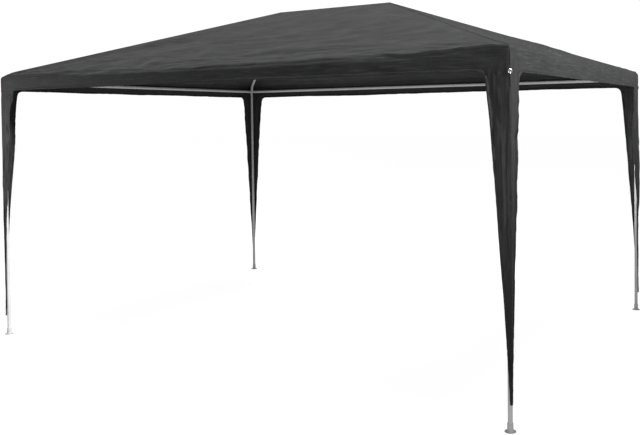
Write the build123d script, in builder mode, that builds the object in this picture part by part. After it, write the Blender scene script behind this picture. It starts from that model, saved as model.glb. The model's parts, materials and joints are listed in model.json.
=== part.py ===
"""Slot-together garden gazebo: a steel tube frame on four legs under a woven cover.

Millimetres. X runs along the long side, Y along the short side, Z is up.
The origin is on the ground, below the middle of the roof; the front is -Y.
"""
from build123d import *
from math import cos, radians, sin, sqrt, tan
import os

# Frame: overall sizes
leg_spacing_long = 3940.0     # between leg axes, along X
leg_spacing_short = 2940.0    # between leg axes, along Y
eave_height = 1880.0          # axis of the eave tubes above the ground
hip_slope = radians(13.7)     # rise of the corner rafters above level

# Tubes
tube_radius = 12.5
tube_wall = 0.7
spigot_clearance = 0.05       # radial, swaged end inside the next tube
spigot_length = 55.0
swage_length = 4.0            # cone between the full tube and its swaged end
long_eave_sections = 4
short_eave_sections = 3
rafter_sections = 2
leg_sections = 2

# Corner connector: the leg tube bends over into the corner rafter
bend_radius = 100.0
bend_below_eave = 33.0        # the bend starts this far below the eave tubes
connector_leg_stub = 22.0     # straight length below the bend
connector_rafter_stub = 18.0  # straight length after the bend
connector_eave_stub = 24.0    # from the leg axis to the shoulder of a side stub
ridge_stub = 34.0             # from the middle of a ridge connector to a shoulder

# Foot
foot_radius = 30.0
foot_rim = 4.0
foot_floor = 5.0              # solid thickness under the end of the leg
foot_flare = 9.0              # radius of the sweep from the disc up to the sleeve
foot_rim_rounding = 1.2
foot_sleeve_wall = 3.0
foot_height = 45.0
foot_clearance = 0.05

# Cover
cloth = 1.0
cloth_clearance = 0.3         # roof cloth above the rafters
skirt_gap = 3.5               # hanging cloth outside the leg and eave tubes
valance_depth = 115.0
leg_cover_width = 141.0       # of each side of a leg cover, at the valance hem
leg_cover_tip_width = 4.0
leg_cover_tip_height = 130.0
leg_cover_corner_radius = 38.0

# Eyelet in each corner of the cover
eyelet_radius = 10.5
eyelet_hole_radius = 5.0
eyelet_barrel_radius = 7.0
eyelet_flange = 1.5           # thickness outside the cloth
eyelet_below_hem = 4.0

# Places worked out from the sizes above
half_long = leg_spacing_long / 2
half_short = leg_spacing_short / 2
ridge_half = half_long - half_short            # the rafters run at 45 degrees in plan
spigot_radius = tube_radius - tube_wall - spigot_clearance
bore_radius = tube_radius - tube_wall
spigot_bore_radius = spigot_radius - tube_wall
bend_height = eave_height - bend_below_eave
rafter_height_at_leg = bend_height + bend_radius * (1 / cos(hip_slope) - tan(hip_slope))
roof_pitch_tangent = sqrt(2) * tan(hip_slope)  # rise per length inward, on every side
ridge_height = rafter_height_at_leg + half_short * roof_pitch_tangent
roof_pitch_cosine = 1 / sqrt(1 + roof_pitch_tangent**2)
cloth_above_axis = (tube_radius + cloth_clearance) / roof_pitch_cosine
cloth_rise = cloth / roof_pitch_cosine         # thickness of the roof cloth, straight up
skirt_inside = tube_radius + skirt_gap         # from a leg axis to the hanging cloth
skirt_outside = skirt_inside + cloth
edge_height = rafter_height_at_leg + cloth_above_axis - skirt_outside * roof_pitch_tangent
hem_height = edge_height + cloth_rise - valance_depth
eyelet_height = hem_height - eyelet_below_hem
outer_long = half_long + skirt_outside
outer_short = half_short + skirt_outside

up = Vector(0, 0, 1)
front_section = Plane.XZ      # drawn level along X, then up
side_section = Plane.YZ       # drawn level along Y, then up
rafter_direction = Vector(-cos(hip_slope) / sqrt(2), -cos(hip_slope) / sqrt(2), sin(hip_slope))

os.makedirs("parts", exist_ok=True)


def save(solid, name):
    """Label one finished piece and write its STEP file."""
    solid.label = name
    export_step(solid, f"parts/{name}.step")


def in_corner(solid, side_x, side_y):
    """Copy a piece of the +X +Y corner into the corner with these signs."""
    if side_x < 0:
        solid = mirror(solid, about=Plane.YZ)
    if side_y < 0:
        solid = mirror(solid, about=Plane.XZ)
    return solid


corners = {
    "front_left": (-1, -1),
    "front_right": (1, -1),
    "back_left": (-1, 1),
    "back_right": (1, 1),
}


def side_of(direction):
    """A level direction square to a tube, to draw its profile on."""
    if abs(direction.Z) > 0.9:
        return Vector(1, 0, 0)
    return direction.cross(up).normalized()


def turned(start, direction, profile):
    """Solid of revolution about a tube's axis; the profile is (along, radius) points."""
    profile_plane = Plane(start, x_dir=direction, z_dir=direction.cross(side_of(direction)))
    with BuildPart() as solid:
        with BuildSketch(profile_plane):
            with BuildLine():
                Polyline(*profile, close=True)
            make_face()
        revolve(axis=Axis(start, direction))
    return solid.part


def tube_section(start, direction, length, swaged):
    """One tube from start; a swaged one ends in a spigot for the next tube."""
    profile = [(0, bore_radius), (0, tube_radius)]
    if swaged:
        shoulder = length - swage_length
        profile += [
            (shoulder, tube_radius),
            (length, spigot_radius),
            (length + spigot_length, spigot_radius),
            (length + spigot_length, spigot_bore_radius),
            (length, spigot_bore_radius),
            (shoulder, bore_radius),
        ]
    else:
        profile += [(length, tube_radius), (length, bore_radius)]
    return turned(start, direction, profile)


def tube_run(start, end, sections):
    """Equal tubes from start to end, each but the last with a spigot into the next one."""
    direction = (end - start).normalized()
    length = (end - start).length / sections
    return [
        tube_section(start + direction * (length * i), direction, length, i < sections - 1)
        for i in range(sections)
    ]


def stub(start, direction, length):
    """Solid connector stub: tube, swaged cone and spigot."""
    profile = [
        (0, 0),
        (0, tube_radius),
        (length - swage_length, tube_radius),
        (length, spigot_radius),
        (length + spigot_length, spigot_radius),
        (length + spigot_length, 0),
    ]
    return turned(start, direction, profile)


def stub_bore(start, direction, length, bore_start):
    """The hollow of a stub, from bore_start along it to the end of its spigot."""
    end = length + spigot_length
    profile = [(bore_start, 0), (bore_start, spigot_bore_radius), (end, spigot_bore_radius), (end, 0)]
    return turned(start, direction, profile)


def corner_connector():
    """Bent tube from the leg to the rafter, with a stub welded on for each eave tube."""
    bend_start = Vector(half_long, half_short, bend_height)
    reach = bend_radius * (1 - sin(hip_slope)) / sqrt(2)
    bend_end = bend_start + Vector(-reach, -reach, bend_radius * cos(hip_slope))
    eave_centre = Vector(half_long, half_short, eave_height)
    through_stubs = [
        (bend_start, -up, connector_leg_stub),
        (bend_end, rafter_direction, connector_rafter_stub),
    ]
    eave_stubs = [
        (eave_centre, Vector(-1, 0, 0), connector_eave_stub),
        (eave_centre, Vector(0, -1, 0), connector_eave_stub),
    ]
    stubs = [stub(*place) for place in through_stubs + eave_stubs]
    bores = [stub_bore(*place, bore_start=0) for place in through_stubs]
    bores += [stub_bore(*place, bore_start=connector_eave_stub) for place in eave_stubs]
    with BuildPart() as connector:
        with BuildLine():
            bend = TangentArc(bend_start, bend_end, tangent=up)
        with BuildSketch(Plane(bend_start, z_dir=up)):
            Circle(tube_radius)
        sweep(path=bend)
        with Locations(eave_centre):
            Sphere(tube_radius)
        add(stubs)
        with BuildSketch(Plane(bend_start, z_dir=up)):
            Circle(spigot_bore_radius)
        sweep(path=bend, mode=Mode.SUBTRACT)
        add(bores, mode=Mode.SUBTRACT)
    return connector.part, bend_end + rafter_direction * connector_rafter_stub


def ridge_connector():
    """Three stubs from one middle: along the ridge and down both rafters of one end."""
    middle = Vector(ridge_half, 0, ridge_height)
    to_back = -rafter_direction
    to_front = Vector(to_back.X, -to_back.Y, to_back.Z)
    directions = (Vector(-1, 0, 0), to_back, to_front)
    stubs = [stub(middle, direction, ridge_stub) for direction in directions]
    bores = [stub_bore(middle, direction, ridge_stub, 0) for direction in directions]
    with BuildPart() as connector:
        add(stubs)
        with Locations(middle):
            Sphere(tube_radius)
        add(bores, mode=Mode.SUBTRACT)
    return connector.part


def foot():
    """Moulded foot: a disc that flares up into the sleeve that the leg stands in."""
    hole_radius = tube_radius + foot_clearance
    sleeve_radius = hole_radius + foot_sleeve_wall
    leg_axis = Vector(half_long, half_short, 0)
    with BuildPart() as moulding:
        with BuildSketch(Plane(leg_axis, x_dir=(1, 0, 0), z_dir=(0, -1, 0))):
            with BuildLine():
                flare_centre = (sleeve_radius + foot_flare, foot_rim + foot_flare)
                flare = CenterArc(flare_centre, foot_flare, 180, 90)
                Polyline(
                    flare @ 1,
                    (foot_radius, foot_rim),
                    (foot_radius, 0),
                    (0, 0),
                    (0, foot_height),
                    (sleeve_radius, foot_height),
                    flare @ 0,
                )
            make_face()
        revolve(axis=Axis(leg_axis, up))
        with BuildSketch(Plane(leg_axis + up * foot_floor)):
            Circle(hole_radius)
        extrude(amount=foot_height - foot_floor, mode=Mode.SUBTRACT)
        rim_edges = moulding.edges().filter_by(GeomType.CIRCLE).sort_by(SortBy.RADIUS)[-2:]
        fillet(rim_edges, foot_rim_rounding)
    return moulding.part


def sloping_profile(inner_end, outer_end):
    """Section of a roof panel from its top edge to its outer edge, level then height."""
    run = outer_end - inner_end
    top = edge_height + run * roof_pitch_tangent
    return [
        (outer_end, edge_height),
        (inner_end, top),
        (inner_end, top + cloth_rise),
        (outer_end, edge_height + cloth_rise),
    ]


def roof_panel(section_plane, inner_end, outer_end, half_width, hip_planes):
    """A cloth panel that slopes down to one side, mitred along its two hips."""
    with BuildPart() as panel:
        with BuildSketch(section_plane):
            with BuildLine():
                Polyline(*sloping_profile(inner_end, outer_end), close=True)
            make_face()
        extrude(amount=half_width, both=True)
        for hip_plane in hip_planes:
            split(bisect_by=hip_plane, keep=Keep.TOP)
        with BuildSketch(Plane.XY):
            RectangleRounded(2 * outer_long, 2 * outer_short, skirt_outside)
        extrude(amount=2 * ridge_height, mode=Mode.INTERSECT)
    return panel.part


def valance(section_plane, leg_offset, half_width):
    """The strip of cloth that hangs below one edge of the roof, between two corners."""
    inside = leg_offset + skirt_inside
    outside = leg_offset + skirt_outside
    with BuildPart() as strip:
        with BuildSketch(section_plane):
            with BuildLine():
                Polyline(
                    (inside, hem_height),
                    (inside, edge_height + cloth * roof_pitch_tangent),
                    (outside, edge_height),
                    (outside, hem_height),
                    close=True,
                )
            make_face()
        extrude(amount=half_width, both=True)
    return strip.part


def leg_cover_outline(view_plane, leg_offset):
    """One side of a leg cover: a long taper, widening into the valance hem."""
    outside = leg_offset + skirt_outside
    side_width = leg_cover_width - leg_cover_tip_width
    side_height = hem_height - leg_cover_corner_radius - leg_cover_tip_height
    tip_corner = Vector(outside - leg_cover_tip_width, leg_cover_tip_height)
    taper_end = tip_corner + Vector(-side_width, side_height)
    hem_end = taper_end + Vector(-leg_cover_corner_radius, leg_cover_corner_radius)
    with BuildSketch(view_plane) as outline:
        with BuildLine():
            Polyline((outside, leg_cover_tip_height), tip_corner, taper_end)
            TangentArc(taper_end, hem_end, tangent=(-side_width, side_height))
            Polyline(
                hem_end,
                (leg_offset, hem_height),
                (leg_offset, edge_height),
                (outside, edge_height),
                (outside, leg_cover_tip_height),
            )
        make_face()
    return outline.sketch


def leg_cover():
    """Cloth folded round the outside of a leg, tapering down to a point."""
    arm = leg_cover_width + 2 * leg_cover_corner_radius
    corner = (half_long, half_short)
    outlines = [leg_cover_outline(front_section, half_long), leg_cover_outline(side_section, half_short)]
    with BuildPart() as cover:
        with BuildSketch(Plane.XY.offset(leg_cover_tip_height)):
            with BuildLine():
                inner_bend = CenterArc(corner, skirt_inside, 0, 90)
                outer_bend = CenterArc(corner, skirt_outside, 0, 90)
                Polyline(
                    inner_bend @ 0,
                    (half_long + skirt_inside, half_short - arm),
                    (half_long + skirt_outside, half_short - arm),
                    outer_bend @ 0,
                )
                Polyline(
                    inner_bend @ 1,
                    (half_long - arm, half_short + skirt_inside),
                    (half_long - arm, half_short + skirt_outside),
                    outer_bend @ 1,
                )
            make_face()
        extrude(amount=edge_height - leg_cover_tip_height)
        for outline in outlines:
            extrude(outline, amount=2 * half_long, both=True, mode=Mode.INTERSECT)
        with BuildSketch(eyelet_plane(1, 1)):
            Circle(eyelet_barrel_radius)
        extrude(amount=skirt_gap, both=True, mode=Mode.SUBTRACT)
    return cover.part


def eyelet_plane(side_x, side_y):
    """Plane on the inside of the cloth at one corner, facing out along the diagonal."""
    outward = Vector(side_x, side_y, 0).normalized()
    leg_axis = Vector(side_x * half_long, side_y * half_short, eyelet_height)
    return Plane(leg_axis + outward * skirt_inside, z_dir=outward)


def eyelets():
    """The four metal eyelets: a barrel through the cloth with a flange outside it."""
    with BuildPart() as rings:
        for side_x, side_y in corners.values():
            inside = eyelet_plane(side_x, side_y)
            with BuildSketch(inside):
                Circle(eyelet_barrel_radius)
                Circle(eyelet_hole_radius, mode=Mode.SUBTRACT)
            extrude(amount=cloth)
            with BuildSketch(inside.offset(cloth)):
                Circle(eyelet_radius)
                Circle(eyelet_hole_radius, mode=Mode.SUBTRACT)
            extrude(amount=eyelet_flange)
    return rings.part


# Pieces that repeat in every corner are made once, in the +X +Y corner
connector_part, rafter_start = corner_connector()
ridge_connector_part = ridge_connector()
ridge_middle = Vector(ridge_half, 0, ridge_height)
rafter_tubes = tube_run(rafter_start, ridge_middle - rafter_direction * ridge_stub, rafter_sections)
leg_tubes = tube_run(
    Vector(half_long, half_short, bend_height - connector_leg_stub),
    Vector(half_long, half_short, foot_floor),
    leg_sections,
)
foot_part = foot()
leg_cover_part = leg_cover()

for corner_name, (side_x, side_y) in corners.items():
    corner_pieces = {
        "corner_connector": connector_part,
        "rafter_lower": rafter_tubes[0],
        "rafter_upper": rafter_tubes[1],
        "leg_upper": leg_tubes[0],
        "leg_lower": leg_tubes[1],
        "foot": foot_part,
        "leg_cover": leg_cover_part,
    }
    for piece_name, piece in corner_pieces.items():
        save(in_corner(piece, side_x, side_y), f"{piece_name}_{corner_name}")

# Ridge
save(in_corner(ridge_connector_part, -1, 1), "ridge_connector_left")
save(in_corner(ridge_connector_part, 1, 1), "ridge_connector_right")
ridge_end = Vector(ridge_half - ridge_stub, 0, ridge_height)
save(tube_run(Vector(-ridge_end.X, 0, ridge_height), ridge_end, 1)[0], "ridge_tube")

# Eave tubes, numbered from left to right or from front to back
long_end = Vector(half_long - connector_eave_stub, -half_short, eave_height)
long_start = Vector(-long_end.X, long_end.Y, eave_height)
for number, tube in enumerate(tube_run(long_start, long_end, long_eave_sections), 1):
    save(tube, f"eave_tube_front_{number}")
    save(mirror(tube, about=Plane.XZ), f"eave_tube_back_{number}")

short_end = Vector(half_long, half_short - connector_eave_stub, eave_height)
short_start = Vector(half_long, -short_end.Y, eave_height)
for number, tube in enumerate(tube_run(short_start, short_end, short_eave_sections), 1):
    save(tube, f"eave_tube_right_{number}")
    save(mirror(tube, about=Plane.YZ), f"eave_tube_left_{number}")

# Cover
ridge_end_point = (ridge_half, 0, 0)
hip_faces_back = Plane(ridge_end_point, z_dir=(-1, 1, 0))
hip_faces_right = Plane(ridge_end_point, z_dir=(1, -1, 0))
back_panel = roof_panel(
    side_section, 0, outer_short, outer_long,
    [hip_faces_back, Plane((-ridge_half, 0, 0), z_dir=(1, 1, 0))],
)
right_panel = roof_panel(
    front_section, ridge_half, outer_long, outer_short,
    [hip_faces_right, Plane(ridge_end_point, z_dir=(1, 1, 0))],
)
back_valance = valance(side_section, half_short, half_long)
right_valance = valance(front_section, half_long, half_short)
save(back_panel, "roof_panel_back")
save(mirror(back_panel, about=Plane.XZ), "roof_panel_front")
save(right_panel, "roof_panel_right")
save(mirror(right_panel, about=Plane.YZ), "roof_panel_left")
save(back_valance, "valance_back")
save(mirror(back_valance, about=Plane.XZ), "valance_front")
save(right_valance, "valance_right")
save(mirror(right_valance, about=Plane.YZ), "valance_left")
save(eyelets(), "corner_eyelets")

print("total height", round(edge_height + outer_short * roof_pitch_tangent + cloth_rise, 1))
print("valance hem", round(hem_height, 1), "eyelets", round(eyelet_height, 1))
print("ridge axis", round(ridge_height, 1), "half of the ridge", ridge_half)
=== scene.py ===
import json
import math

import bmesh
import bpy
import numpy as np
from mathutils import Matrix, Vector, noise
from mathutils.bvhtree import BVHTree


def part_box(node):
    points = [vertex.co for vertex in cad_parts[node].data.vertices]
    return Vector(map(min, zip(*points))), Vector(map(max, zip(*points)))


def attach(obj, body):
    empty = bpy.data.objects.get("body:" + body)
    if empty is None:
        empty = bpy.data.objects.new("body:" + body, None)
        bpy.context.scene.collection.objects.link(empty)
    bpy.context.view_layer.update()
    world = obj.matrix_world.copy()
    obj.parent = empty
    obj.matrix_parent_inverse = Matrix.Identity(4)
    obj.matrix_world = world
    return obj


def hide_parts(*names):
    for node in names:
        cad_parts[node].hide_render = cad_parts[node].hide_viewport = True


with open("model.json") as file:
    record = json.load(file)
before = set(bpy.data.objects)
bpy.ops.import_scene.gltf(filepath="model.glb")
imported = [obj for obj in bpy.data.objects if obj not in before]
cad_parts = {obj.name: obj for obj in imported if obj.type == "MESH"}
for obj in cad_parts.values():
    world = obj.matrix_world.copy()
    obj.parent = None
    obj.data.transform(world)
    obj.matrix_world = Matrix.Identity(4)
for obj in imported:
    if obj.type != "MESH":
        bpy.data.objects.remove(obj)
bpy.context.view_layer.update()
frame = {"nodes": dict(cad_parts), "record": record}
print("frame loaded")

cornerNames = ["front_left", "front_right", "back_right", "back_left"]
sideNames = ["front", "back", "left", "right"]


def highCorner(*nodes):
    highs = [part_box(node)[1] for node in nodes]
    return Vector([max(point[i] for point in highs) for i in range(3)])


def newObject(name, mesh):
    obj = bpy.data.objects.new(name, mesh)
    bpy.context.scene.collection.objects.link(obj)
    return obj


def meshOf(name, points, faces, smooth=True):
    mesh = bpy.data.meshes.new(name)
    mesh.from_pydata([tuple(point) for point in points], [], faces)
    mesh.update()
    if smooth:
        mesh.shade_smooth()
    return mesh


def applied(obj):
    # the evaluated mesh takes the place of the modifiers
    depsgraph = bpy.context.evaluated_depsgraph_get()
    mesh = bpy.data.meshes.new_from_object(obj.evaluated_get(depsgraph))
    obj.modifiers.clear()
    obj.data = mesh
    return obj


def pointsOf(mesh):
    flat = np.zeros(len(mesh.vertices) * 3)
    mesh.vertices.foreach_get("co", flat)
    return flat.reshape(-1, 3)


def setPoints(mesh, points):
    mesh.vertices.foreach_set("co", np.asarray(points, dtype=np.float32).ravel())
    mesh.update()


def smoothStep(low, high, value):
    t = min(max((value - low) / (high - low), 0.0), 1.0)
    return t * t * (3 - 2 * t)


def setValues(node, **values):
    # each value is an input's, with _ for a space, or else the node's own
    for key, value in values.items():
        label = key.replace("_", " ")
        if label in node.inputs:
            node.inputs[label].default_value = value
        else:
            setattr(node, key, value)
    return node


def addNode(tree, kind, **values):
    return setValues(tree.nodes.new(kind), **values)


def feed(tree, value, socket):
    if isinstance(value, (int, float, tuple)):
        socket.default_value = value
    else:
        tree.links.new(value, socket)


def mathNode(tree, operation, *values):
    node = addNode(tree, "ShaderNodeMath", operation=operation)
    for value, socket in zip(values, node.inputs):
        feed(tree, value, socket)
    return node.outputs[0]


def mixed(tree, share, first, second):
    mix = addNode(tree, "ShaderNodeMix", data_type="FLOAT")
    tree.links.new(share, mix.inputs["Factor"])
    tree.links.new(first, mix.inputs["A"])
    tree.links.new(second, mix.inputs["B"])
    return mix.outputs["Result"]


def mixedColour(tree, share, first, second, **values):
    mix = addNode(tree, "ShaderNodeMix", data_type="RGBA", **values)
    for value, socket in ((share, "Factor"), (first, 6), (second, 7)):
        feed(tree, value, mix.inputs[socket])
    return mix.outputs[2]


def mapRange(tree, value, **limits):
    node = addNode(tree, "ShaderNodeMapRange", **limits)
    tree.links.new(value, node.inputs["Value"])
    return node.outputs["Result"]


def newGroup(name, inputs, outputs):
    tree = bpy.data.node_groups.new(name, "ShaderNodeTree")
    for label, kind, default in inputs:
        socket = tree.interface.new_socket(label, in_out="INPUT", socket_type=kind)
        if default is not None:
            socket.default_value = default
    for label, kind in outputs:
        tree.interface.new_socket(label, in_out="OUTPUT", socket_type=kind)
    return tree, tree.nodes.new("NodeGroupInput").outputs, tree.nodes.new("NodeGroupOutput").inputs


def noiseMask(tree, vector, scale, detail, low, high):
    # a noise that runs from 0 below low to 1 above high
    texture = addNode(tree, "ShaderNodeTexNoise", Detail=detail)
    tree.links.new(vector, texture.inputs["Vector"])
    feed(tree, scale, texture.inputs["Scale"])
    return mapRange(tree, texture.outputs["Fac"], From_Min=low, From_Max=high)


def makeWeaveGroup():
    # flat tapes woven over and under each other, in the cloth's own metres
    tree, given, result = newGroup(
        "wovenTape",
        [
            ("UV", "NodeSocketVector", None),
            ("Tape Width", "NodeSocketFloat", 0.0022),
        ],
        [("Height", "NodeSocketFloat")],
    )
    split = addNode(tree, "ShaderNodeSeparateXYZ")
    tree.links.new(given["UV"], split.inputs[0])
    along = mathNode(tree, "DIVIDE", split.outputs["X"], given["Tape Width"])
    across = mathNode(tree, "DIVIDE", split.outputs["Y"], given["Tape Width"])
    warp = mathNode(tree, "SINE", mathNode(tree, "MULTIPLY", mathNode(tree, "FRACT", along), math.pi))
    weft = mathNode(tree, "SINE", mathNode(tree, "MULTIPLY", mathNode(tree, "FRACT", across), math.pi))
    sumOfCells = mathNode(tree, "ADD", mathNode(tree, "FLOOR", along), mathNode(tree, "FLOOR", across))
    over = mathNode(tree, "PINGPONG", sumOfCells, 1.0)
    surface = mixed(tree, over, warp, weft)
    tree.links.new(mathNode(tree, "POWER", surface, 0.5), result["Height"])
    return tree


def makeDustGroup():
    # cloudy dust and a finer grain, both from a place on the piece
    tree, given, result = newGroup(
        "dustAndGrain",
        [
            ("Vector", "NodeSocketVector", None),
            ("Cloud Scale", "NodeSocketFloat", 3.0),
            ("Grain Scale", "NodeSocketFloat", 400.0),
            ("Clean", "NodeSocketColor", (0.5, 0.5, 0.5, 1)),
            ("Dusty", "NodeSocketColor", (0.6, 0.6, 0.6, 1)),
        ],
        [("Color", "NodeSocketColor"), ("Dust", "NodeSocketFloat"), ("Grain", "NodeSocketFloat")],
    )
    link = tree.links.new
    cloud = noiseMask(tree, given["Vector"], given["Cloud Scale"], 4.0, 0.35, 0.7)
    grain = noiseMask(tree, given["Vector"], given["Grain Scale"], 2.0, 0.25, 0.75)
    link(mixedColour(tree, cloud, given["Clean"], given["Dusty"]), result["Color"])
    link(cloud, result["Dust"])
    link(grain, result["Grain"])
    return tree


weaveGroup = makeWeaveGroup()
dustGroup = makeDustGroup()


def newMaterial(name):
    material = bpy.data.materials.new(name)
    material.use_nodes = True
    tree = material.node_tree
    shader = tree.nodes["Principled BSDF"]
    place = tree.nodes.new("ShaderNodeTexCoord")
    return material, tree, shader, place


def placed(tree, group, **values):
    return addNode(tree, "ShaderNodeGroup", node_tree=group, **values)


def bumpFrom(tree, shader, height, strength, distance, normal=None):
    bump = addNode(tree, "ShaderNodeBump", Strength=strength, Distance=distance)
    tree.links.new(height, bump.inputs["Height"])
    if normal is not None:
        tree.links.new(normal, bump.inputs["Normal"])
    tree.links.new(bump.outputs["Normal"], shader.inputs["Normal"])
    return bump.outputs["Normal"]


def rangeTo(tree, value, low, high):
    return mapRange(tree, value, To_Min=low, To_Max=high)


clothLook = {
    "clean": (0.021, 0.0215, 0.022, 1),
    "dusty": (0.028, 0.0285, 0.029, 1),
    "tapeWidth": 0.0022,
    "roughness": (0.60, 0.74),
    "specular": 0.35,
    "sheen": 0.05,
    "creaseDepth": 0.0024,
    "cloud": 2.6,
    "grain": 160.0,
    "levelStreaks": (5.0, 62.0, 1.0),       # repeats along and up the cloth, per metre
    "hangingStreaks": (66.0, 3.0, 1.0),
    "levelLines": (7.0, 90.0, 1.0),
    "hangingLines": (95.0, 4.5, 1.0),
    "lineShare": (0.62, 0.90),              # only the tops of the noise make a pale line
    # streak tone: the tape's own faint streaks plus painted sheen and painted shade along the creases
    "streakTone": (0.60, 1.22),
    "lineTone": (0.0, 0.75),
    "patchTone": (0.94, 1.06),
}


def shaded(colour, shade):
    return tuple(c * shade for c in colour[:3]) + (1,)


def dustOf(tree, place, look, shade):
    dust = placed(
        tree,
        dustGroup,
        Cloud_Scale=look["cloud"],
        Grain_Scale=look["grain"],
        Clean=shaded(look["clean"], shade),
        Dusty=shaded(look["dusty"], shade),
    )
    tree.links.new(place.outputs["Object"], dust.inputs["Vector"])
    return dust


def streakNoise(tree, vector, scale, turn):
    stretch = addNode(tree, "ShaderNodeMapping", Scale=scale, Rotation=(0.0, 0.0, turn))
    tree.links.new(vector, stretch.inputs["Vector"])
    return noiseMask(tree, stretch.outputs["Vector"], 1.0, 2.5, 0.28, 0.72)


def clothMaterial(name, shade=1.0):
    # woven polyethylene tape, a little shiny, with faint streaks along the tapes whose tone is partly
    # the tape's own and partly painted sheen and painted crease shade
    material, tree, shader, place = newMaterial(name)
    link = tree.links.new
    uv = addNode(tree, "ShaderNodeUVMap", uv_map="cloth")
    dust = dustOf(tree, place, clothLook, shade)
    upright = addNode(tree, "ShaderNodeAttribute", attribute_name="upright")
    level = streakNoise(tree, uv.outputs["UV"], clothLook["levelStreaks"], 0.05)
    hanging = streakNoise(tree, uv.outputs["UV"], clothLook["hangingStreaks"], -0.03)
    streaks = mixed(tree, upright.outputs["Fac"], level, hanging)
    # narrow pale lines where the tape has been folded hard
    fineLevel = streakNoise(tree, uv.outputs["UV"], clothLook["levelLines"], -0.02)
    fineHanging = streakNoise(tree, uv.outputs["UV"], clothLook["hangingLines"], 0.04)
    fine = mixed(tree, upright.outputs["Fac"], fineLevel, fineHanging)
    low, high = clothLook["lineShare"]
    stress = mapRange(tree, fine, From_Min=low, From_Max=high)
    grey = addNode(tree, "ShaderNodeCombineColor")
    patches = noiseMask(tree, uv.outputs["UV"], 9.0, 3.0, 0.50, 0.62)
    # painted light and shade: the streak tone lightens and darkens the cloth along the same creases
    # that the bump draws
    streakTone = rangeTo(tree, streaks, *clothLook["streakTone"])
    lineTone = rangeTo(tree, stress, *clothLook["lineTone"])
    patchTone = rangeTo(tree, patches, *clothLook["patchTone"])
    tone = mathNode(tree, "MULTIPLY", mathNode(tree, "ADD", streakTone, lineTone), patchTone)
    for channel in grey.inputs:
        link(tone, channel)
    tint = mixedColour(tree, 1.0, dust.outputs["Color"], grey.outputs["Color"], blend_type="MULTIPLY")
    link(tint, shader.inputs["Base Color"])
    weave = placed(tree, weaveGroup, Tape_Width=clothLook["tapeWidth"])
    link(uv.outputs["UV"], weave.inputs["UV"])
    link(rangeTo(tree, streaks, *clothLook["roughness"]), shader.inputs["Roughness"])
    streakNormal = bumpFrom(tree, shader, streaks, 0.5, clothLook["creaseDepth"])
    bumpFrom(tree, shader, weave.outputs["Height"], 0.30, 0.00025, streakNormal)
    setValues(shader, Sheen_Weight=clothLook["sheen"], Sheen_Roughness=0.5)
    setValues(shader, Specular_IOR_Level=clothLook["specular"])
    return material


# finishes whose colour and gloss change with dust and whose grain gives the bump
coatLook = {
    "clean": (0.80, 0.80, 0.795, 1),
    "dusty": (0.71, 0.705, 0.695, 1),
    "bareSteel": (0.55, 0.55, 0.55, 1),
    "cloud": 6.0,
    "grain": 900.0,
    "bump": (0.12, 0.0002),
}
footLook = {
    "clean": (0.72, 0.72, 0.72, 1),
    "dusty": (0.64, 0.635, 0.625, 1),
    "cloud": 40.0,
    "grain": 1500.0,
    "roughness": (0.42, 0.62),
    "bump": (0.25, 0.0002),
}
eyeletLook = {
    "clean": (0.80, 0.79, 0.77, 1),
    "dusty": (0.62, 0.61, 0.59, 1),
    "cloud": 140.0,
    "grain": 2500.0,
    "roughness": (0.18, 0.36),
    "bump": (0.08, 0.0001),
}


def dustyFinish(name, look, shade=1.0):
    material, tree, shader, place = newMaterial(name)
    dust = dustOf(tree, place, look, shade)
    tree.links.new(dust.outputs["Color"], shader.inputs["Base Color"])
    tree.links.new(rangeTo(tree, dust.outputs["Dust"], *look["roughness"]), shader.inputs["Roughness"])
    bumpFrom(tree, shader, dust.outputs["Grain"], *look["bump"])
    return material, tree, shader, place, dust


def powderCoatMaterial(name, shade, roughness):
    # light grey powder coat: orange peel, rub marks down to the steel here and there
    look = dict(coatLook, roughness=roughness)
    material, tree, shader, place, dust = dustyFinish(name, look, shade)
    rubbed = noiseMask(tree, place.outputs["Object"], 55.0, 5.0, 0.70, 0.74)
    coat = mixedColour(tree, rubbed, dust.outputs["Color"], look["bareSteel"])
    tree.links.new(coat, shader.inputs["Base Color"])
    tree.links.new(rubbed, shader.inputs["Metallic"])
    return material


def footMaterial():
    # moulded plastic with a spark-eroded grain
    return dustyFinish("footPlastic", footLook)[0]


def eyeletMaterial():
    # nickel-plated steel, finely grained, with a dull patch or two
    material, tree, shader, place, dust = dustyFinish("eyeletNickel", eyeletLook)
    shader.inputs["Metallic"].default_value = 1.0
    return material


def threadMaterial():
    material, tree, shader, place = newMaterial("sewingThread")
    twist = addNode(tree, "ShaderNodeTexWave", Scale=900.0, Distortion=1.5)
    tree.links.new(place.outputs["Object"], twist.inputs["Vector"])
    dark, pale = (0.016, 0.016, 0.017, 1), (0.040, 0.040, 0.042, 1)
    tree.links.new(mixedColour(tree, twist.outputs["Fac"], dark, pale), shader.inputs["Base Color"])
    shader.inputs["Roughness"].default_value = 0.7
    return material


coverCloth = clothMaterial("coverCloth")
hemCloth = clothMaterial("hemCloth", 0.92)
tubeCoat = powderCoatMaterial("tubeCoat", 1.0, (0.32, 0.46))
connectorCoat = powderCoatMaterial("connectorCoat", 0.94, (0.38, 0.52))
footPlastic = footMaterial()
eyeletNickel = eyeletMaterial()
sewingThread = threadMaterial()
print("materials made")

slotMaterials = {
    "frame_tube": tubeCoat,
    "connector": connectorCoat,
    "foot_plastic": footPlastic,
}
for subpart in frame["record"]["subparts"]:
    material = slotMaterials.get(subpart["material_slot"])
    if material is not None:
        for materialSlot in frame["nodes"][subpart["node"]].material_slots:
            materialSlot.material = material


roofHigh = highCorner(*[f"roof_panel_{side}" for side in sideNames])
coverLow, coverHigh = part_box("leg_cover_front_right")

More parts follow.
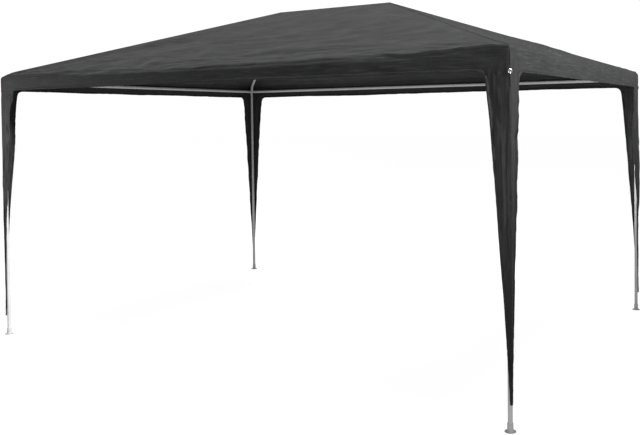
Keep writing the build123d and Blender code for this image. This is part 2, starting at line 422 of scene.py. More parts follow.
cover = {
    "outerLong": roofHigh.x,
    "outerShort": roofHigh.y,
    "topHeight": roofHigh.z,
    "foldHeight": coverHigh.z + 0.001,      # top face of the roof cloth at its outer edge
    "hemHeight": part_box("valance_front")[0].z,
    "tipHeight": coverLow.z,
    "coverSpan": coverHigh.x - coverLow.x,  # along the hem, flare included
    "flareRadius": 0.038,
    "tipWidth": 0.010,
    "cornerInset": 0.0035,                  # the corner edge is rounded round the leg
    "hipLift": 0.0016,                      # seam layers between the cloth and the rafters
    "columnsInCover": 12,
    "columnsToHip": 20,
    "columnGrowth": 0.45,
    "ridgeColumns": 12,
    "cornerCrease": 0.55,
    "valanceRows": 6,
    "coverRows": 44,
    "thickness": 0.0006,
}
# how far each corner of the roof rounds down over the bent tube, and from how far in
cornerDrops = {
    "front_left": (0.019, 0.053),
    "front_right": (0.004, 0.030),
    "back_right": (0.014, 0.048),
    "back_left": (0.012, 0.050),
}
cover["pitch"] = (cover["topHeight"] - cover["foldHeight"]) / cover["outerShort"]


def stepsFromCorner():
    # distances in from a corner: even across a leg cover, then growing to the hip's end
    span = cover["coverSpan"]
    rest = cover["outerShort"] - span
    near = [span * k / cover["columnsInCover"] for k in range(cover["columnsInCover"] + 1)]
    growth = cover["columnGrowth"]
    far = []
    for k in range(1, cover["columnsToHip"] + 1):
        t = k / cover["columnsToHip"]
        far.append(span + rest * ((1 - growth) * t + growth * t * t))
    return near + far


def gridLines(halfWidth, middleCells):
    steps = stepsFromCorner()
    low = [-halfWidth + step for step in steps]
    middleHalf = halfWidth - steps[-1]
    middle = [-middleHalf + 2 * middleHalf * k / middleCells for k in range(1, middleCells)]
    high = [halfWidth - step for step in reversed(steps)]
    return low + middle + (high if middleCells else high[1:])


def insets(x, y):
    # how far in from the nearer end eave and the nearer long eave
    return cover["outerLong"] - abs(x), cover["outerShort"] - abs(y)


def sharpRoofHeight(x, y):
    return cover["foldHeight"] + cover["pitch"] * min(insets(x, y))


def cornerDistance(x, y):
    return math.hypot(*insets(x, y))


def cornerName(x, y):
    return ("back" if y > 0 else "front") + ("_right" if x > 0 else "_left")


def cornerRounding(x, y):
    drop, reach = cornerDrops[cornerName(x, y)]
    away = cornerDistance(x, y) / reach
    return drop * math.exp(-away * away)


def coverWidth(height):
    # width of one side of a leg cover, flaring into the hem by an arc
    below = cover["hemHeight"] - height
    radius = cover["flareRadius"]
    straightTop = cover["coverSpan"] - radius
    length = cover["hemHeight"] - cover["tipHeight"]
    width = cover["tipWidth"] + (straightTop - cover["tipWidth"]) * (1 - below / length)
    if below < radius:
        width += radius - math.sqrt(radius**2 - (radius - below) ** 2)
    return width


def coverHeights():
    radius = cover["flareRadius"]
    flare = [radius * (1 - math.cos(math.pi / 2 * k / 5)) for k in range(1, 6)]
    length = cover["hemHeight"] - cover["tipHeight"]
    rows = cover["coverRows"]
    below = flare + [radius + (length - radius) * k / rows for k in range(1, rows + 1)]
    return [cover["hemHeight"] - depth for depth in below]


# how far each side of a leg cover has swung out (+) or in (-), as a share of its width
coverSwing = {
    "front_left": {"long": 0.40, "short": -0.62},
    "front_right": {"long": 0.02, "short": -0.05},
    "back_right": {"long": -0.10, "short": -0.90},
    "back_left": {"long": -0.06, "short": -0.08},
}


def swingAt(name, side, inset, height):
    below = cover["hemHeight"] - height
    share = coverSwing[name][side]
    free = max(inset - (0.015 if share > 0 else 0.05), 0.0)
    return share * free * smoothStep(0.0, 0.40 if share < 0.3 else 0.16, below)


def skirtPlace(side, inset, swing):
    # how far out a point hangs: side is "long" for front and back, "short" for the ends
    if side == "long":
        return cover["outerLong"] - inset, cover["outerShort"] + swing
    return cover["outerLong"] + swing, cover["outerShort"] - inset


# the front fold: how far it hangs slack, is pushed up, and how far in that reaches
fold = {
    "slack": 0.016,
    "pushed": 0.014,
    "reach": 0.10,
}


def frontFoldShift(x, y):
    # slack towards the left, pushed up towards the front right corner
    inward = cover["outerShort"] + y
    if inward > 0.5:
        return 0.0
    slack = math.exp(-(((x + 0.75) / 0.95) ** 2)) * smoothStep(0, 0.5, x + cover["outerLong"])
    pushed = math.exp(-(((x - 1.80) / 0.50) ** 2))
    return (fold["pushed"] * pushed - fold["slack"] * slack) * math.exp(-inward / fold["reach"])


def buildCoverMesh():
    # rows of points, the faces between them, the held points and the sharp edges
    xs = gridLines(cover["outerLong"], cover["ridgeColumns"])
    ys = gridLines(cover["outerShort"], 0)
    nx, ny = len(xs) - 1, len(ys) - 1
    points, faces, pinned, sharp = [], [], [], {}
    grid, onLines = {}, set()
    for j, y in enumerate(ys):
        for i, x in enumerate(xs):
            grid[i, j] = len(points)
            atCorner = i in (0, nx) and j in (0, ny)
            inset = cover["cornerInset"] if atCorner else 0.0
            px, py = x - math.copysign(inset, x), y - math.copysign(inset, y)
            height = sharpRoofHeight(x, y) - cornerRounding(x, y) + cover["hipLift"]
            points.append((px, py, height + frontFoldShift(x, y)))
            acrossX, acrossY = insets(x, y)
            onHip = abs(acrossX - acrossY) < 1e-6
            onRidge = acrossY > cover["outerShort"] - 1e-6 and acrossX > cover["outerShort"] - 1e-6
            if onHip or onRidge:
                pinned.append(grid[i, j])
                onLines.add((i, j))
    for j in range(ny):
        for i in range(nx):
            a, b, c, d = (i, j), (i + 1, j), (i + 1, j + 1), (i, j + 1)
            if a in onLines and c in onLines:
                parts = [(a, b, c), (a, c, d)]
            elif b in onLines and d in onLines:
                parts = [(a, b, d), (b, c, d)]
            else:
                parts = [(a, b, c, d)]
            faces += [tuple(grid[place] for place in part) for part in parts]
    for i, j in onLines:
        for beside in ((i + 1, j + 1), (i + 1, j - 1), (i + 1, j)):
            if beside in onLines:
                sharp[grid[i, j], grid[beside]] = 1.0
    around = [(i, 0) for i in range(nx)] + [(nx, j) for j in range(ny)]
    around += [(i, ny) for i in range(nx, 0, -1)] + [(0, j) for j in range(ny, 0, -1)]
    cornerAt = [0, nx, nx + ny, 2 * nx + ny]
    count = len(around)
    above = [grid[place] for place in around]
    for row in range(1, cover["valanceRows"] + 1):
        t = row / cover["valanceRows"]
        below = []
        for place, top in zip(around, above):
            x, y, z = points[grid[place]]
            height = z + (cover["hemHeight"] - z) * t
            below.append(len(points))
            points.append((x, y, height))
        for k in range(count):
            faces.append((below[k], below[(k + 1) % count], above[(k + 1) % count], above[k]))
        for k in cornerAt:
            sharp[above[k], below[k]] = cover["cornerCrease"]
        above = below
        pinned += [below[k] for k in cornerAt]
    columns = cover["columnsInCover"]
    for name, start in zip(cornerNames, cornerAt):
        signs = (1 if "right" in name else -1, 1 if "back" in name else -1)
        # going round, the cover's first side is the one before the corner
        endFirst = name in ("front_left", "back_right")
        firstSide, secondSide = ("short", "long") if endFirst else ("long", "short")
        upper = [above[(start + k) % count] for k in range(-columns, columns + 1)]
        for height in coverHeights():
            width = coverWidth(height)
            lower = []
            for k in range(-columns, columns + 1):
                inset = abs(k) / columns * width
                side = firstSide if k < 0 else secondSide
                x, y = skirtPlace(side, inset, swingAt(name, side, inset, height))
                if k == 0:
                    x, y = x - cover["cornerInset"], y - cover["cornerInset"]
                    pinned.append(len(points))
                lower.append(len(points))
                points.append((signs[0] * x, signs[1] * y, height))
            for k in range(2 * columns):
                faces.append((lower[k], lower[k + 1], upper[k + 1], upper[k]))
            sharp[upper[columns], lower[columns]] = cover["cornerCrease"]
            upper = lower
        pinned += upper
    return points, faces, pinned, sharp


def setCreases(mesh, sharp):
    layer = mesh.attributes.new("crease_edge", "FLOAT", "EDGE")
    for edge in mesh.edges:
        a, b = edge.vertices
        layer.data[edge.index].value = sharp.get((a, b), sharp.get((b, a), 0.0))


def markUpright(mesh):
    # 0 on the roof and valance, 1 on the leg covers: which way the fine creases run
    layer = mesh.attributes.new("upright", "FLOAT", "POINT")
    for vertex in mesh.vertices:
        x, y, z = vertex.co
        side = max(insets(x, y))
        low = 1 - smoothStep(cover["hemHeight"] - 0.02, cover["hemHeight"] + 0.03, z)
        justAbove = 1 - smoothStep(0.0, 0.09, z - cover["hemHeight"])
        nearCorner = (1 - smoothStep(0.06, 0.20, side)) * justAbove
        layer.data[vertex.index].value = max(low, nearCorner)


def clothUv(mesh):
    # each panel keeps its own straight grain: along the eave and up the slope
    layer = mesh.uv_layers.new(name="cloth")
    slope = math.hypot(1, cover["pitch"])
    for polygon in mesh.polygons:
        middle = polygon.center
        acrossX, acrossY = insets(middle.x, middle.y)
        facesEnd = acrossX < acrossY
        for loop in polygon.loop_indices:
            x, y, z = mesh.vertices[mesh.loops[loop].vertex_index].co
            if facesEnd:
                along, inward = y, insets(x, y)[0]
            else:
                along, inward = x, insets(x, y)[1]
            onRoof = polygon.normal.z > 0.5
            up = inward * slope if onRoof else z - cover["foldHeight"]
            layer.data[loop].uv = (along, up)


clothSettings = {
    "quality": 6,
    "mass": 0.0016,
    "tension_stiffness": 14.0,
    "compression_stiffness": 14.0,
    "shear_stiffness": 6.0,
    "bending_stiffness": 0.02,
    "tension_damping": 8,
    "compression_damping": 8,
    "shear_damping": 8,
    "air_damping": 4,
    "vertex_group_mass": "pins",
    "vertex_group_shrink": "tight",
    "shrink_min": -0.0035,    # negative lets the cloth grow, so it hangs a little loose
    "shrink_max": 0.010,      # the hems are sewn tighter than the cloth
}
settle = {
    "frames": 26,
    "mostMove": 0.026,
    "cornerCalm": 0.30,       # the cloth keeps its shape this near to a corner
}


def settleCover(obj, pinned, hem):
    pins = obj.vertex_groups.new(name="pins")
    pins.add(pinned, 1.0, "REPLACE")
    tight = obj.vertex_groups.new(name="tight")
    tight.add(hem, 1.0, "REPLACE")
    start = pointsOf(obj.data)
    cloth = obj.modifiers.new("settle", "CLOTH")
    for label, value in clothSettings.items():
        setattr(cloth.settings, label, value)
    cloth.collision_settings.use_collision = False
    cloth.point_cache.frame_start = 1
    cloth.point_cache.frame_end = settle["frames"]
    scene = bpy.context.scene
    for number in range(1, settle["frames"] + 1):
        scene.frame_set(number)
    applied(obj)
    scene.frame_set(1)
    moved = pointsOf(obj.data) - start
    size = np.linalg.norm(moved, axis=1)
    print("cloth settled, most move", round(float(size.max()), 4), "mean", round(float(size.mean()), 4))
    limit = np.minimum(1.0, settle["mostMove"] / np.maximum(size, 1e-9))
    for k, (x, y, z) in enumerate(start):
        if z > cover["hemHeight"] - 0.001:
            limit[k] *= smoothStep(0.0, settle["cornerCalm"], cornerDistance(x, y))
    setPoints(obj.data, start + moved * limit[:, None])
    obj.vertex_groups.clear()


def skirtFacts(x, y, z):
    # for hanging cloth: distance from the corner along its side, and a running length
    acrossX, acrossY = insets(x, y)
    if acrossX < acrossY:
        return acrossY, y + (40 if x > 0 else 60)
    return acrossX, x + (0 if y > 0 else 20)


creases = {
    "hipHeight": 0.0042,
    "eaveHeight": 0.0040,
    "roofHeight": 0.0028,
    "valanceHeight": 0.0060,
    "middleFold": 0.0040,
    "coverHeight": 0.0100,
    "coverFine": 0.0026,
    "puckerHeight": 0.0032,
    "inwardLimit": 0.0024,
}


def soft(x, y, seed):
    return noise.noise(Vector((x, y, seed)))


def ridged(value):
    # a soft noise folded into narrow creases
    return 1 - 2 * min(abs(value) * 2.2, 1.0)


def roofCrease(x, y):
    acrossX, acrossY = insets(x, y)
    inward = min(acrossX, acrossY)
    along = x if acrossY < acrossX else y + 30
    fromHip = abs(acrossX - acrossY) / math.sqrt(2)
    alongHip = (acrossX + acrossY) / math.sqrt(2)
    seed = 7 * (x > 0) + 13 * (y > 0) + 29 * (acrossX < acrossY)
    nearHip = math.exp(-fromHip / 0.28) * smoothStep(0.0, 0.06, fromHip)
    hip = ridged(soft(fromHip * 15, alongHip * 1.7, seed))
    nearEave = math.exp(-inward / 0.15)
    eave = ridged(soft(along * 3.6, inward * 26, seed + 3))
    wide = soft(along * 1.6, inward * 3.5, seed + 5)
    radial = math.atan2(acrossY, acrossX) if acrossX + acrossY > 1e-6 else 0.0
    fromCorner = math.hypot(acrossX, acrossY)
    nearCorner = math.exp(-fromCorner / 0.55) * smoothStep(0.03, 0.14, fromCorner)
    fan = ridged(soft(radial * 9, fromCorner * 1.2, seed + 9))
    fromRidge = cover["outerShort"] - acrossY
    nearRidge = math.exp(-(((fromRidge - 0.13) / 0.06) ** 2)) * (acrossX > acrossY)
    height = creases["hipHeight"] * nearHip * hip
    height += creases["eaveHeight"] * nearEave * eave * 0.7
    height += creases["roofHeight"] * wide
    height += creases["hipHeight"] * nearCorner * fan
    height += creases["roofHeight"] * nearRidge * soft(along * 1.1, 0, seed + 12)
    onLine = min(fromHip, cover["outerShort"] - inward)
    return height * smoothStep(0.012, 0.06, onLine)


def valanceCrease(run, z, fromCorner):
    share = (z - cover["hemHeight"]) / (cover["foldHeight"] - cover["hemHeight"])
    free = 0.35 + 0.65 * smoothStep(0.0, 0.12, fromCorner)
    level = soft(run * 2.4, z * 34, 2.0)
    slant = ridged(soft(run * 3.2 + z * 6, z * 24, 3.0))
    upright = soft(run * 13, z * 5, 4.0)
    pucker = soft(run * 38, z * 9, 6.0) * (1 - smoothStep(0.0, 0.35, share))
    rise = (share - 0.52 - 0.10 * soft(run * 0.9, 0, 7.0)) / 0.09
    middle = math.exp(-rise * rise) * (0.5 + 0.9 * soft(run * 1.1, 0, 8.0))
    height = creases["valanceHeight"] * (0.55 * level + 0.22 * slant + 0.35 * upright)
    return (height + creases["middleFold"] * middle + creases["puckerHeight"] * 0.6 * pucker) * free


def coverCrease(run, z, fromCorner):
    width = coverWidth(max(z, cover["tipHeight"]))
    inset = min(fromCorner / max(width, 1e-6), 1.0)
    loose = 0.25 + 0.75 * smoothStep(0.08, 0.5, inset)
    size = smoothStep(0.004, 0.11, width)
    broad = soft(run * 26, z * 2.2, 10.0)
    narrow = soft(run * 62, z * 4.0, 11.0)
    slant = ridged(soft(run * 15 + z * 5, z * 6.0, 12.0))
    edge = smoothStep(0.5, 1.0, inset)
    pucker = soft(run * 8, z * 26, 14.0) + 0.5 * soft(run * 16, z * 55, 15.0)
    height = creases["coverHeight"] * (0.5 * broad + 0.22 * slant) * loose
    height += creases["coverFine"] * narrow * 2.0
    return (height + creases["puckerHeight"] * edge * pucker) * size


def addCreases(mesh):
    points = pointsOf(mesh)
    normals = np.array([vertex.normal for vertex in mesh.vertices])
    moved = points.copy()
    for k, (x, y, z) in enumerate(points):
        acrossX, acrossY = insets(x, y)
        if normals[k][2] > 0.6 and min(acrossX, acrossY) > 0.004:
            moved[k] += normals[k] * roofCrease(x, y)
            continue
        fromCorner, run = skirtFacts(x, y, z)
        if z > cover["hemHeight"]:
            height = valanceCrease(run, z, fromCorner)
            guard = 1.0
        else:
            height = coverCrease(run, z, fromCorner)
            guard = 1 - smoothStep(0.03, 0.09, fromCorner)
        if height < 0:
            height = max(height, -creases["inwardLimit"]) * guard + height * (1 - guard)
        moved[k] += normals[k] * height
    setPoints(mesh, moved)


def keepClear(mesh):
    # the hanging cloth stays outside the eave tubes and the legs behind it
    points = pointsOf(mesh)
    low = creases["inwardLimit"]
    for k, (x, y, z) in enumerate(points):
        acrossX, acrossY = insets(x, y)
        nearLeg = max(acrossX, acrossY) < 0.06
        onSkirt = z < cover["foldHeight"] - 0.030
        if onSkirt and (nearLeg or z > cover["hemHeight"] - 0.002):
            if acrossY < acrossX and acrossY > low and acrossY < 0.03:
                points[k][1] = math.copysign(cover["outerShort"] - low, y)
            elif acrossX < acrossY and acrossX > low and acrossX < 0.03:
                points[k][0] = math.copysign(cover["outerLong"] - low, x)
    setPoints(mesh, points)


eyeletMounts = [mount for mount in frame["record"]["mounts"] if mount["name"].startswith("eyelet_")]
eyelet = {
    "holeRadius": 0.005,
    "flangeRadius": 0.0122,
    "domeHeight": 0.0021,
    "barrelDepth": 0.0022,
    "flattenReach": 0.020,
    "segments": 48,
}


def flattenAtEyelets(mesh):
    # the cloth is clamped flat behind each eyelet and puckers round it
    points = pointsOf(mesh)
    for mount in eyeletMounts:
        axis = np.array(mount["axis"]) / np.linalg.norm(mount["axis"])
        centre = np.array(mount["pos_m"])
        offset = points - centre
        depth = offset @ axis
        flat = offset - depth[:, None] * axis
        away = np.linalg.norm(flat, axis=1)
        for k in np.nonzero((away < 3 * eyelet["flattenReach"]) & (np.abs(depth) < 0.04))[0]:
            hold = 1 - smoothStep(eyelet["flangeRadius"], eyelet["flattenReach"], away[k])
            angle = math.atan2(flat[k][2], flat[k][0] - flat[k][1])
            ring = math.exp(-((away[k] - 0.022) ** 2) / 0.012**2)
            points[k] += axis * (-depth[k] * hold + 0.0009 * ring * math.sin(9 * angle))
    setPoints(mesh, points)


coverPoints, coverFaces, pinnedPoints, sharpEdges = buildCoverMesh()
coverMesh = meshOf("cover_sheet", coverPoints, coverFaces)
coverSheet = newObject("cover_sheet", coverMesh)
clothUv(coverMesh)


def freeEdges(mesh):
    # the edges with one face only
    uses = {}
    for polygon in mesh.polygons:
        for edge in polygon.edge_keys:
            uses[edge] = uses.get(edge, 0) + 1
    return [edge for edge, number in uses.items() if number == 1]


hemPoints = sorted({point for edge in freeEdges(coverMesh) for point in edge})
settleCover(coverSheet, pinnedPoints, hemPoints)

setCreases(coverSheet.data, sharpEdges)
smooth = coverSheet.modifiers.new("smooth", "SUBSURF")
smooth.levels = 1
smooth.render_levels = 1
smooth.boundary_smooth = "PRESERVE_CORNERS"
applied(coverSheet)
addCreases(coverSheet.data)
keepClear(coverSheet.data)
flattenAtEyelets(coverSheet.data)
markUpright(coverSheet.data)
coverSheet.data.materials.clear()
coverSheet.data.materials.append(coverCloth)
coverSheet.data.shade_smooth()
print("cover shaped,", len(coverSheet.data.vertices), "points")


sheetTree = BVHTree.FromPolygons(
    [vertex.co.copy() for vertex in coverSheet.data.vertices],
    [tuple(polygon.vertices) for polygon in coverSheet.data.polygons],
)


def sheetPoint(place):
    point, normal, index, distance = sheetTree.find_nearest(place)
    return point, normal


def hemLoop(mesh):
    # the points round the edge of the sheet, in order
    beside = {}
    for a, b in freeEdges(mesh):
        beside.setdefault(a, []).append(b)
        beside.setdefault(b, []).append(a)
    first = min(beside)
    loop, last, here = [first], None, first
    while True:
        following = [n for n in beside[here] if n != last]
        last, here = here, following[0]
        if here == first:
            return loop
        loop.append(here)


hem = {
    "width": 0.014,
    "stitchInset": 0.0105,
    "standOff": 0.0009,
    "wrap": 0.0012,
    "edge": 0.0002,           # half the tape's own thickness at its edges
    "turn": 0.003,            # where the tape starts to turn over the cloth's edge
}


def hemFrames(mesh, loop):
    # at each point of the hem: the point, the cloth's normal and the way in
    frames = []
    for k, index in enumerate(loop):
        before = mesh.vertices[loop[k - 1]].co
        after = mesh.vertices[loop[(k + 1) % len(loop)]].co
        here = mesh.vertices[index]
        tangent = (after - before).normalized()
        inward = here.normal.cross(tangent).normalized()
        frames.append((here.co.copy(), here.normal.copy(), inward))
    probe, normal, inward = frames[len(frames) // 3]
    found = sheetPoint(probe + inward * hem["width"])[0]
    if (found - probe).length < hem["width"] * 0.5:
        frames = [(point, normal, -inward) for point, normal, inward in frames]
    return frames


def outward(mesh):
    work = bmesh.new()
    work.from_mesh(mesh)
    bmesh.ops.recalc_face_normals(work, faces=work.faces)
    work.to_mesh(mesh)
    work.free()
    return mesh


def ringMesh(name, rings, closed):
    # a tube of equal cross-sections, one after another
    count, size = len(rings), len(rings[0])
    points = [point for ring in rings for point in ring]
    faces = []
    for k in range(count if closed else count - 1):
        a, b = k * size, (k + 1) % count * size
        for j in range(size):
            faces.append((a + j, b + j, b + (j + 1) % size, a + (j + 1) % size))
    if not closed:
        faces.append(tuple(range(size)))
        faces.append(tuple(range((count - 1) * size, count * size))[::-1])
    return outward(meshOf(name, points, faces))


def hemRing(point, normal, inward):
    inner, innerNormal = sheetPoint(point + inward * hem["width"])
    edge, turn = hem["edge"], hem["turn"]
    outside, inside = hem["standOff"], hem["standOff"] + cover["thickness"]
    return [
        inner + innerNormal * edge,
        inner + innerNormal * outside,
        point + inward * turn + normal * (outside + edge),
        point - inward * hem["wrap"] + normal * edge,
        point - inward * hem["wrap"] - normal * (cover["thickness"] + edge),
        point + inward * turn - normal * (inside + edge),
        inner - innerNormal * inside,
        inner - innerNormal * (cover["thickness"] + edge),
    ]


def stripUv(mesh, ringSize, step):
    layer = mesh.uv_layers.new(name="cloth")
    for polygon in mesh.polygons:
        for loop in polygon.loop_indices:
            index = mesh.loops[loop].vertex_index
            layer.data[loop].uv = (index // ringSize * step, index % ringSize * 0.004)


hemFrameList = hemFrames(coverSheet.data, hemLoop(coverSheet.data))
hemMesh = ringMesh("hem_tape", [hemRing(*place) for place in hemFrameList], True)
stripUv(hemMesh, 8, 0.012)
hemTape = newObject("hem_tape", hemMesh)
hemTape.data.materials.append(hemCloth)
print("hem", len(hemFrameList), "points")

seam = {
    "halfWidth": 0.006,
    "height": 0.0009,
    "step": 0.022,
    "stitchOffset": 0.0036,
    "fromCorner": 0.010,
    "cornerHeight": 0.0008,
    "cornerStep": 0.020,
    "eyeletGap": 0.0085,
}


def seamPaths():
    # plan lines of the four hips and the ridge, as start and end
    long, short = cover["outerLong"], cover["outerShort"]
    ridgeEnd = long - short
    paths = [((-ridgeEnd, 0.0), (ridgeEnd, 0.0))]
    for signX in (-1, 1):
        for signY in (-1, 1):
            start = (signX * (long - seam["fromCorner"]), signY * (short - seam["fromCorner"]))
            paths.append((start, (signX * ridgeEnd, 0.0)))
    return paths


def dropOn(x, y):
    hit = sheetTree.ray_cast(Vector((x, y, cover["topHeight"] + 0.3)), Vector((0, 0, -1)))
    return hit[0], hit[1]


def seamRings(start, end):
    start, end = Vector((*start, 0)), Vector((*end, 0))
    along = (end - start).normalized()
    across = Vector((-along.y, along.x, 0))
    count = int((end - start).length / seam["step"]) + 1
    rings, left, right = [], [], []
    for k in range(count + 1):
        middle = start + (end - start) * (k / count)
        ring = []
        for offset, lift in ((-1, 0.05), (-0.6, 0.8), (0, 1.0), (0.6, 0.8), (1, 0.05)):
            place = middle + across * offset * seam["halfWidth"]
            point, normal = dropOn(place.x, place.y)
            ring.append(point + normal * seam["height"] * lift)
        point, normal = dropOn(middle.x, middle.y)
        ring.append(point - normal * 0.0003)
        rings.append(ring)
        for row, side in ((left, -1), (right, 1)):
            place = middle + across * side * seam["stitchOffset"]
            point, normal = dropOn(place.x, place.y)
            row.append(point + normal * seam["height"])
    return rings, left, right


def cornerSeamRings(signX, signY, top, bottom):
    # the seam of a hip runs on down the corner edge to the tip of the leg cover
    long, short = cover["outerLong"], cover["outerShort"]
    count = max(int((top - bottom) / seam["cornerStep"]), 1)
    rings, left, right = [], [], []
    for k in range(count + 1):
        z = top + (bottom - top) * k / count
        reach = min(seam["halfWidth"], coverWidth(min(z, cover["hemHeight"])) * 0.45)

        def onArm(offset, lift):
            x = signX * (long - max(-offset, 0) * reach)
            y = signY * (short - max(offset, 0) * reach)
            point, normal = sheetPoint(Vector((x, y, z)))
            return point + normal * seam["cornerHeight"] * lift

        section = ((-1, 0.05), (-0.6, 0.9), (-0.2, 1), (0.2, 1), (0.6, 0.9), (1, 0.05))
        ring = [onArm(*place) for place in section]
        ring.append(onArm(0, -0.4))
        rings.append(ring)
        left.append(onArm(-0.6, 1.0))
        right.append(onArm(0.6, 1.0))
    return rings, left, right


seamMeshes, stitchRows = [], []


def addSeam(made, step):
    rings, left, right = made
    seamMeshes.append(ringMesh("seam", rings, False))
    stripUv(seamMeshes[-1], len(rings[0]), step)
    stitchRows.extend([left, right])


for start, end in seamPaths():
    addSeam(seamRings(start, end), seam["step"])

eyeletHeight = eyeletMounts[0]["pos_m"][2]
for signX in (-1, 1):
    for signY in (-1, 1):
        drop = cornerDrops[cornerName(signX, signY)][0]
        runs = (
            (cover["foldHeight"] - drop - 0.006, eyeletHeight + seam["eyeletGap"]),
            (eyeletHeight - seam["eyeletGap"], cover["tipHeight"] + 0.012),
        )
        for top, bottom in runs:
            addSeam(cornerSeamRings(signX, signY, top, bottom), seam["cornerStep"])


def joined(name, meshes, material):
    work = bmesh.new()
    for mesh in meshes:
        work.from_mesh(mesh)
    mesh = bpy.data.meshes.new(name)
    work.to_mesh(mesh)
    work.free()
    mesh.shade_smooth()
    mesh.materials.append(material)
    return newObject(name, mesh)


hipSeams = joined("hip_seams", seamMeshes, hemCloth)
print("seams made")


def geometryTree(name, inputs):
    tree = bpy.data.node_groups.new(name, "GeometryNodeTree")
    tree.interface.new_socket("Geometry", in_out="INPUT", socket_type="NodeSocketGeometry")
    for label, kind in inputs:
        tree.interface.new_socket(label, in_out="INPUT", socket_type=kind)
    tree.interface.new_socket("Geometry", in_out="OUTPUT", socket_type="NodeSocketGeometry")
    return tree, tree.nodes.new("NodeGroupInput").outputs, tree.nodes.new("NodeGroupOutput").inputs


def makeStitchTree():
    # short round bars of thread along every edge line
    tree, given, result = geometryTree(
        "stitchRow",
        [
            ("Spacing", "NodeSocketFloat"),
            ("Stitch Length", "NodeSocketFloat"),
            ("Thread Radius", "NodeSocketFloat"),
            ("Thread", "NodeSocketMaterial"),
        ],
    )
    link = tree.links.new
    lines = tree.nodes.new("GeometryNodeMeshToCurve")
    link(given["Geometry"], lines.inputs["Mesh"])
    places = tree.nodes.new("GeometryNodeCurveToPoints")
    places.mode = "LENGTH"
    link(lines.outputs["Curve"], places.inputs["Curve"])
    link(given["Spacing"], places.inputs["Length"])
    bar = tree.nodes.new("GeometryNodeMeshCylinder")
    bar.fill_type = "TRIANGLE_FAN"
    bar.inputs["Vertices"].default_value = 5
    link(given["Thread Radius"], bar.inputs["Radius"])
    link(given["Stitch Length"], bar.inputs["Depth"])
    instances = tree.nodes.new("GeometryNodeInstanceOnPoints")
    link(places.outputs["Points"], instances.inputs["Points"])
    link(bar.outputs["Mesh"], instances.inputs["Instance"])
    link(places.outputs["Rotation"], instances.inputs["Rotation"])
    real = tree.nodes.new("GeometryNodeRealizeInstances")
    link(instances.outputs["Instances"], real.inputs["Geometry"])
    paint = tree.nodes.new("GeometryNodeSetMaterial")
    link(real.outputs["Geometry"], paint.inputs["Geometry"])
    link(given["Thread"], paint.inputs["Material"])
    link(paint.outputs["Geometry"], result["Geometry"])
    return tree


def withNodes(obj, tree, values):
    modifier = obj.modifiers.new("nodes", "NODES")
    modifier.node_group = tree
    for item in tree.interface.items_tree:
        if item.item_type == "SOCKET" and item.in_out == "INPUT" and item.name in values:
            modifier[item.identifier] = values[item.name]
    return applied(obj)


def lineMesh(name, rows, closed):
    points, edges = [], []
    for row in rows:
        first = len(points)
        points += [tuple(point) for point in row]
        edges += [(first + k, first + k + 1) for k in range(len(row) - 1)]
        if closed:
            edges.append((len(points) - 1, first))
    mesh = bpy.data.meshes.new(name)
    mesh.from_pydata(points, edges, [])
    return mesh


stitchTree = makeStitchTree()
stitch = {
    "Spacing": 0.0075,
    "Stitch Length": 0.0048,
    "Thread Radius": 0.00042,
    "Thread": sewingThread,
}
hemRow = []
for point, normal, inward in hemFrameList:
    place, placeNormal = sheetPoint(point + inward * hem["stitchInset"])
    hemRow.append(place + placeNormal * (hem["standOff"] + hem["edge"]))


def stitched(name, rows, closed):
    return withNodes(newObject(name, lineMesh(name, rows, closed)), stitchTree, stitch)


hemStitches = stitched("hem_stitches", [hemRow], True)
seamStitches = stitched("seam_stitches", stitchRows, False)
print("stitches", len(hemStitches.data.polygons), len(seamStitches.data.polygons))


def eyeletProfile():
    # radius and height of the plated ring: barrel, rolled lip, domed flange
    hole, rim, dome = eyelet["holeRadius"], eyelet["flangeRadius"], eyelet["domeHeight"]
    depth = eyelet["barrelDepth"]
    profile = [(hole + 0.0006, -depth), (hole, -depth + 0.0004), (hole, dome * 0.55)]
    for k in range(9):
        angle = math.pi * k / 8
        middle, half = (hole + rim) / 2, (rim - hole) / 2
        profile.append((middle - half * math.cos(angle), dome * (0.45 + 0.55 * math.sin(angle))))
    profile += [(rim, 0.0), (rim - 0.0008, -0.0002), (hole + 0.0014, -0.0002)]
    return profile + [(hole + 0.0014, -depth)]


def lathe(profile, segments, placement):
    rings = []
    for k in range(segments):
        angle = 2 * math.pi * k / segments
        ring = [(radius * math.cos(angle), radius * math.sin(angle), z) for radius, z in profile]
        rings.append([placement @ Vector(point) for point in ring])
    return ringMesh("turned", rings, True)


eyeletMeshes = []
for mount in eyeletMounts:
    axis = Vector(mount["axis"]).normalized()
    turn = axis.to_track_quat("Z", "Y").to_matrix().to_4x4()
    placement = Matrix.Translation(Vector(mount["pos_m"])) @ turn
    eyeletMeshes.append(lathe(eyeletProfile(), eyelet["segments"], placement))
eyeletRings = joined("eyelet_rings", eyeletMeshes, eyeletNickel)
print("eyelets made")


solid = coverSheet.modifiers.new("thickness", "SOLIDIFY")
solid.thickness = cover["thickness"]
solid.offset = -1.0
solid.use_even_offset = False

for piece in (coverSheet, hemTape, hipSeams, hemStitches, seamStitches):
    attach(piece, "cover")
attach(eyeletRings, "cover")
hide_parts("corner_eyelets")
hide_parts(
    *[f"roof_panel_{side}" for side in sideNames],
    *[f"valance_{side}" for side in sideNames],
    *[f"leg_cover_{name}" for name in cornerNames],
)


def splitByRay(tree, lit, seen, output):
    # one shader lights the scene, the other is what the camera sees
    link = tree.links.new
    path = tree.nodes.new("ShaderNodeLightPath")
    mix = tree.nodes.new("ShaderNodeMixShader")
    link(path.outputs["Is Camera Ray"], mix.inputs["Fac"])
    link(lit.outputs[0], mix.inputs[1])
    link(seen.outputs[0], mix.inputs[2])
    link(mix.outputs[0], output.inputs["Surface"])


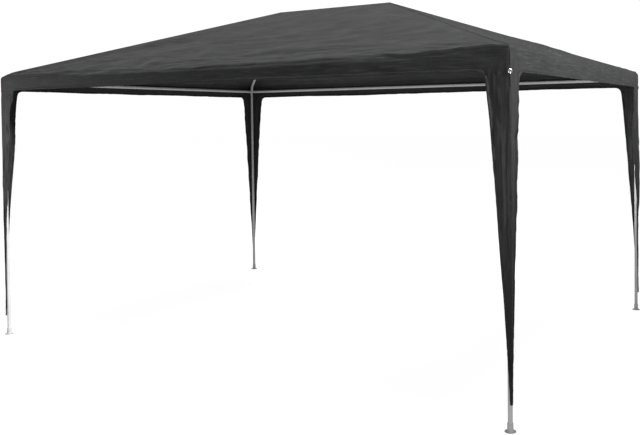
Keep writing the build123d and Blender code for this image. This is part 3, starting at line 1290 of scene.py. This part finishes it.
def stageMaterial():
    # white to the camera, darker to the light that bounces up under the roof
    material, tree, shader, place = newMaterial("paleFloor")
    setValues(shader, Base_Color=(0.30, 0.30, 0.30, 1), Roughness=0.9)
    setValues(shader, Emission_Color=(1, 1, 1, 1), Emission_Strength=lighting["floorGlow"])
    bounce = addNode(tree, "ShaderNodeEmission", Strength=lighting["floorBounce"])
    splitByRay(tree, bounce, shader, tree.nodes["Material Output"])
    return material


lighting = {
    "worldColor": (1, 1, 1, 1),
    "worldStrength": 0.12,
    "backdropStrength": 1.05,
    "floorGlow": 0.95,
    "floorBounce": 0.46,
}
# place, aim, size, power, whether gloss reflects it, and the beam's spread in degrees
lights = {
    "top": ((0.6, 0.4, 7.5), (0, 0, 2), 7.0, 400.0, False, 180),
    "fill": ((2.3, -4.7, 0.35), (1.92, -1.5, 1.32), 0.6, 1.5, True, 34),
    "right": ((1.1, -0.5, 0.90), (1.90, 1.5, 1.28), 0.5, 1.8, False, 34),
    "foot": ((2.7, -2.9, 0.55), (1.97, -1.47, 0.04), 0.3, 0.11, True, 24),
    "left": ((-3.4, -3.0, 1.6), (-2.0, -1.5, 1.4), 0.4, 3.4, True, 60),
}
# a key light from the right whose lower edge is flagged off above the feet
key = {
    "place": (11.0, -2.8, 7.2),
    "aim": (0.0, -0.6, 8.2),
    "spot_size": 1.379,
    "spot_blend": 0.18,
    "shadow_soft_size": 0.7,
    "energy": 9500.0,
}


floorHalf = 60.0
floorCorners = [(x * floorHalf, y * floorHalf, 0.0) for x, y in ((-1, -1), (1, -1), (1, 1), (-1, 1))]
floor = newObject("floor", meshOf("floor", floorCorners, [(0, 1, 2, 3)], smooth=False))
floor.data.materials.append(stageMaterial())


def addLight(name, kind, place, aim, **values):
    light = bpy.data.lights.new(name, kind)
    for label, value in values.items():
        setattr(light, label, value)
    obj = newObject(name, light)
    obj.location = place
    obj.rotation_euler = (Vector(aim) - Vector(place)).to_track_quat("-Z", "Y").to_euler()
    obj.visible_camera = False
    return obj


def makeWorld():
    world = bpy.data.worlds.new("studio")
    world.use_nodes = True
    tree = world.node_tree
    white = lighting["worldColor"]
    light = setValues(tree.nodes["Background"], Color=white, Strength=lighting["worldStrength"])
    seen = addNode(tree, "ShaderNodeBackground", Color=white, Strength=lighting["backdropStrength"])
    splitByRay(tree, light, seen, tree.nodes["World Output"])
    bpy.context.scene.world = world


makeWorld()
for name, (place, aim, size, power, glossy, spread) in lights.items():
    look = {"shape": "DISK", "size": size, "energy": power, "spread": math.radians(spread)}
    addLight(name, "AREA", place, aim, **look).visible_glossy = glossy
addLight("key", "SPOT", **key)
bpy.context.scene.view_settings.view_transform = "Standard"

view = {
    "place": (3.3875, -5.3061, 1.5875),
    "yaw": 0.5274,
    "pitch": -0.0293,
    "roll": -0.0102,
    "lens": 45.42,
    "shiftX": -0.0742,
    "shiftY": -0.1179,
}


def addCamera():
    data = bpy.data.cameras.new("camera")
    data.lens = view["lens"]
    data.sensor_width = 36
    data.shift_x = view["shiftX"]
    data.shift_y = view["shiftY"]
    data.clip_start = 0.05
    data.clip_end = 200
    camera = newObject("camera", data)
    yaw, pitch, roll = view["yaw"], view["pitch"], view["roll"]
    ahead = Vector((-math.sin(yaw) * math.cos(pitch), math.cos(yaw) * math.cos(pitch), math.sin(pitch)))
    right = Vector((math.cos(yaw), math.sin(yaw), 0))
    above = right.cross(ahead)
    turnedRight = right * math.cos(roll) + above * math.sin(roll)
    turnedAbove = above * math.cos(roll) - right * math.sin(roll)
    rotation = Matrix((turnedRight, turnedAbove, -ahead)).transposed()
    camera.matrix_world = Matrix.Translation(view["place"]) @ rotation.to_4x4()
    bpy.context.scene.camera = camera


addCamera()
print("stage, light and camera set")
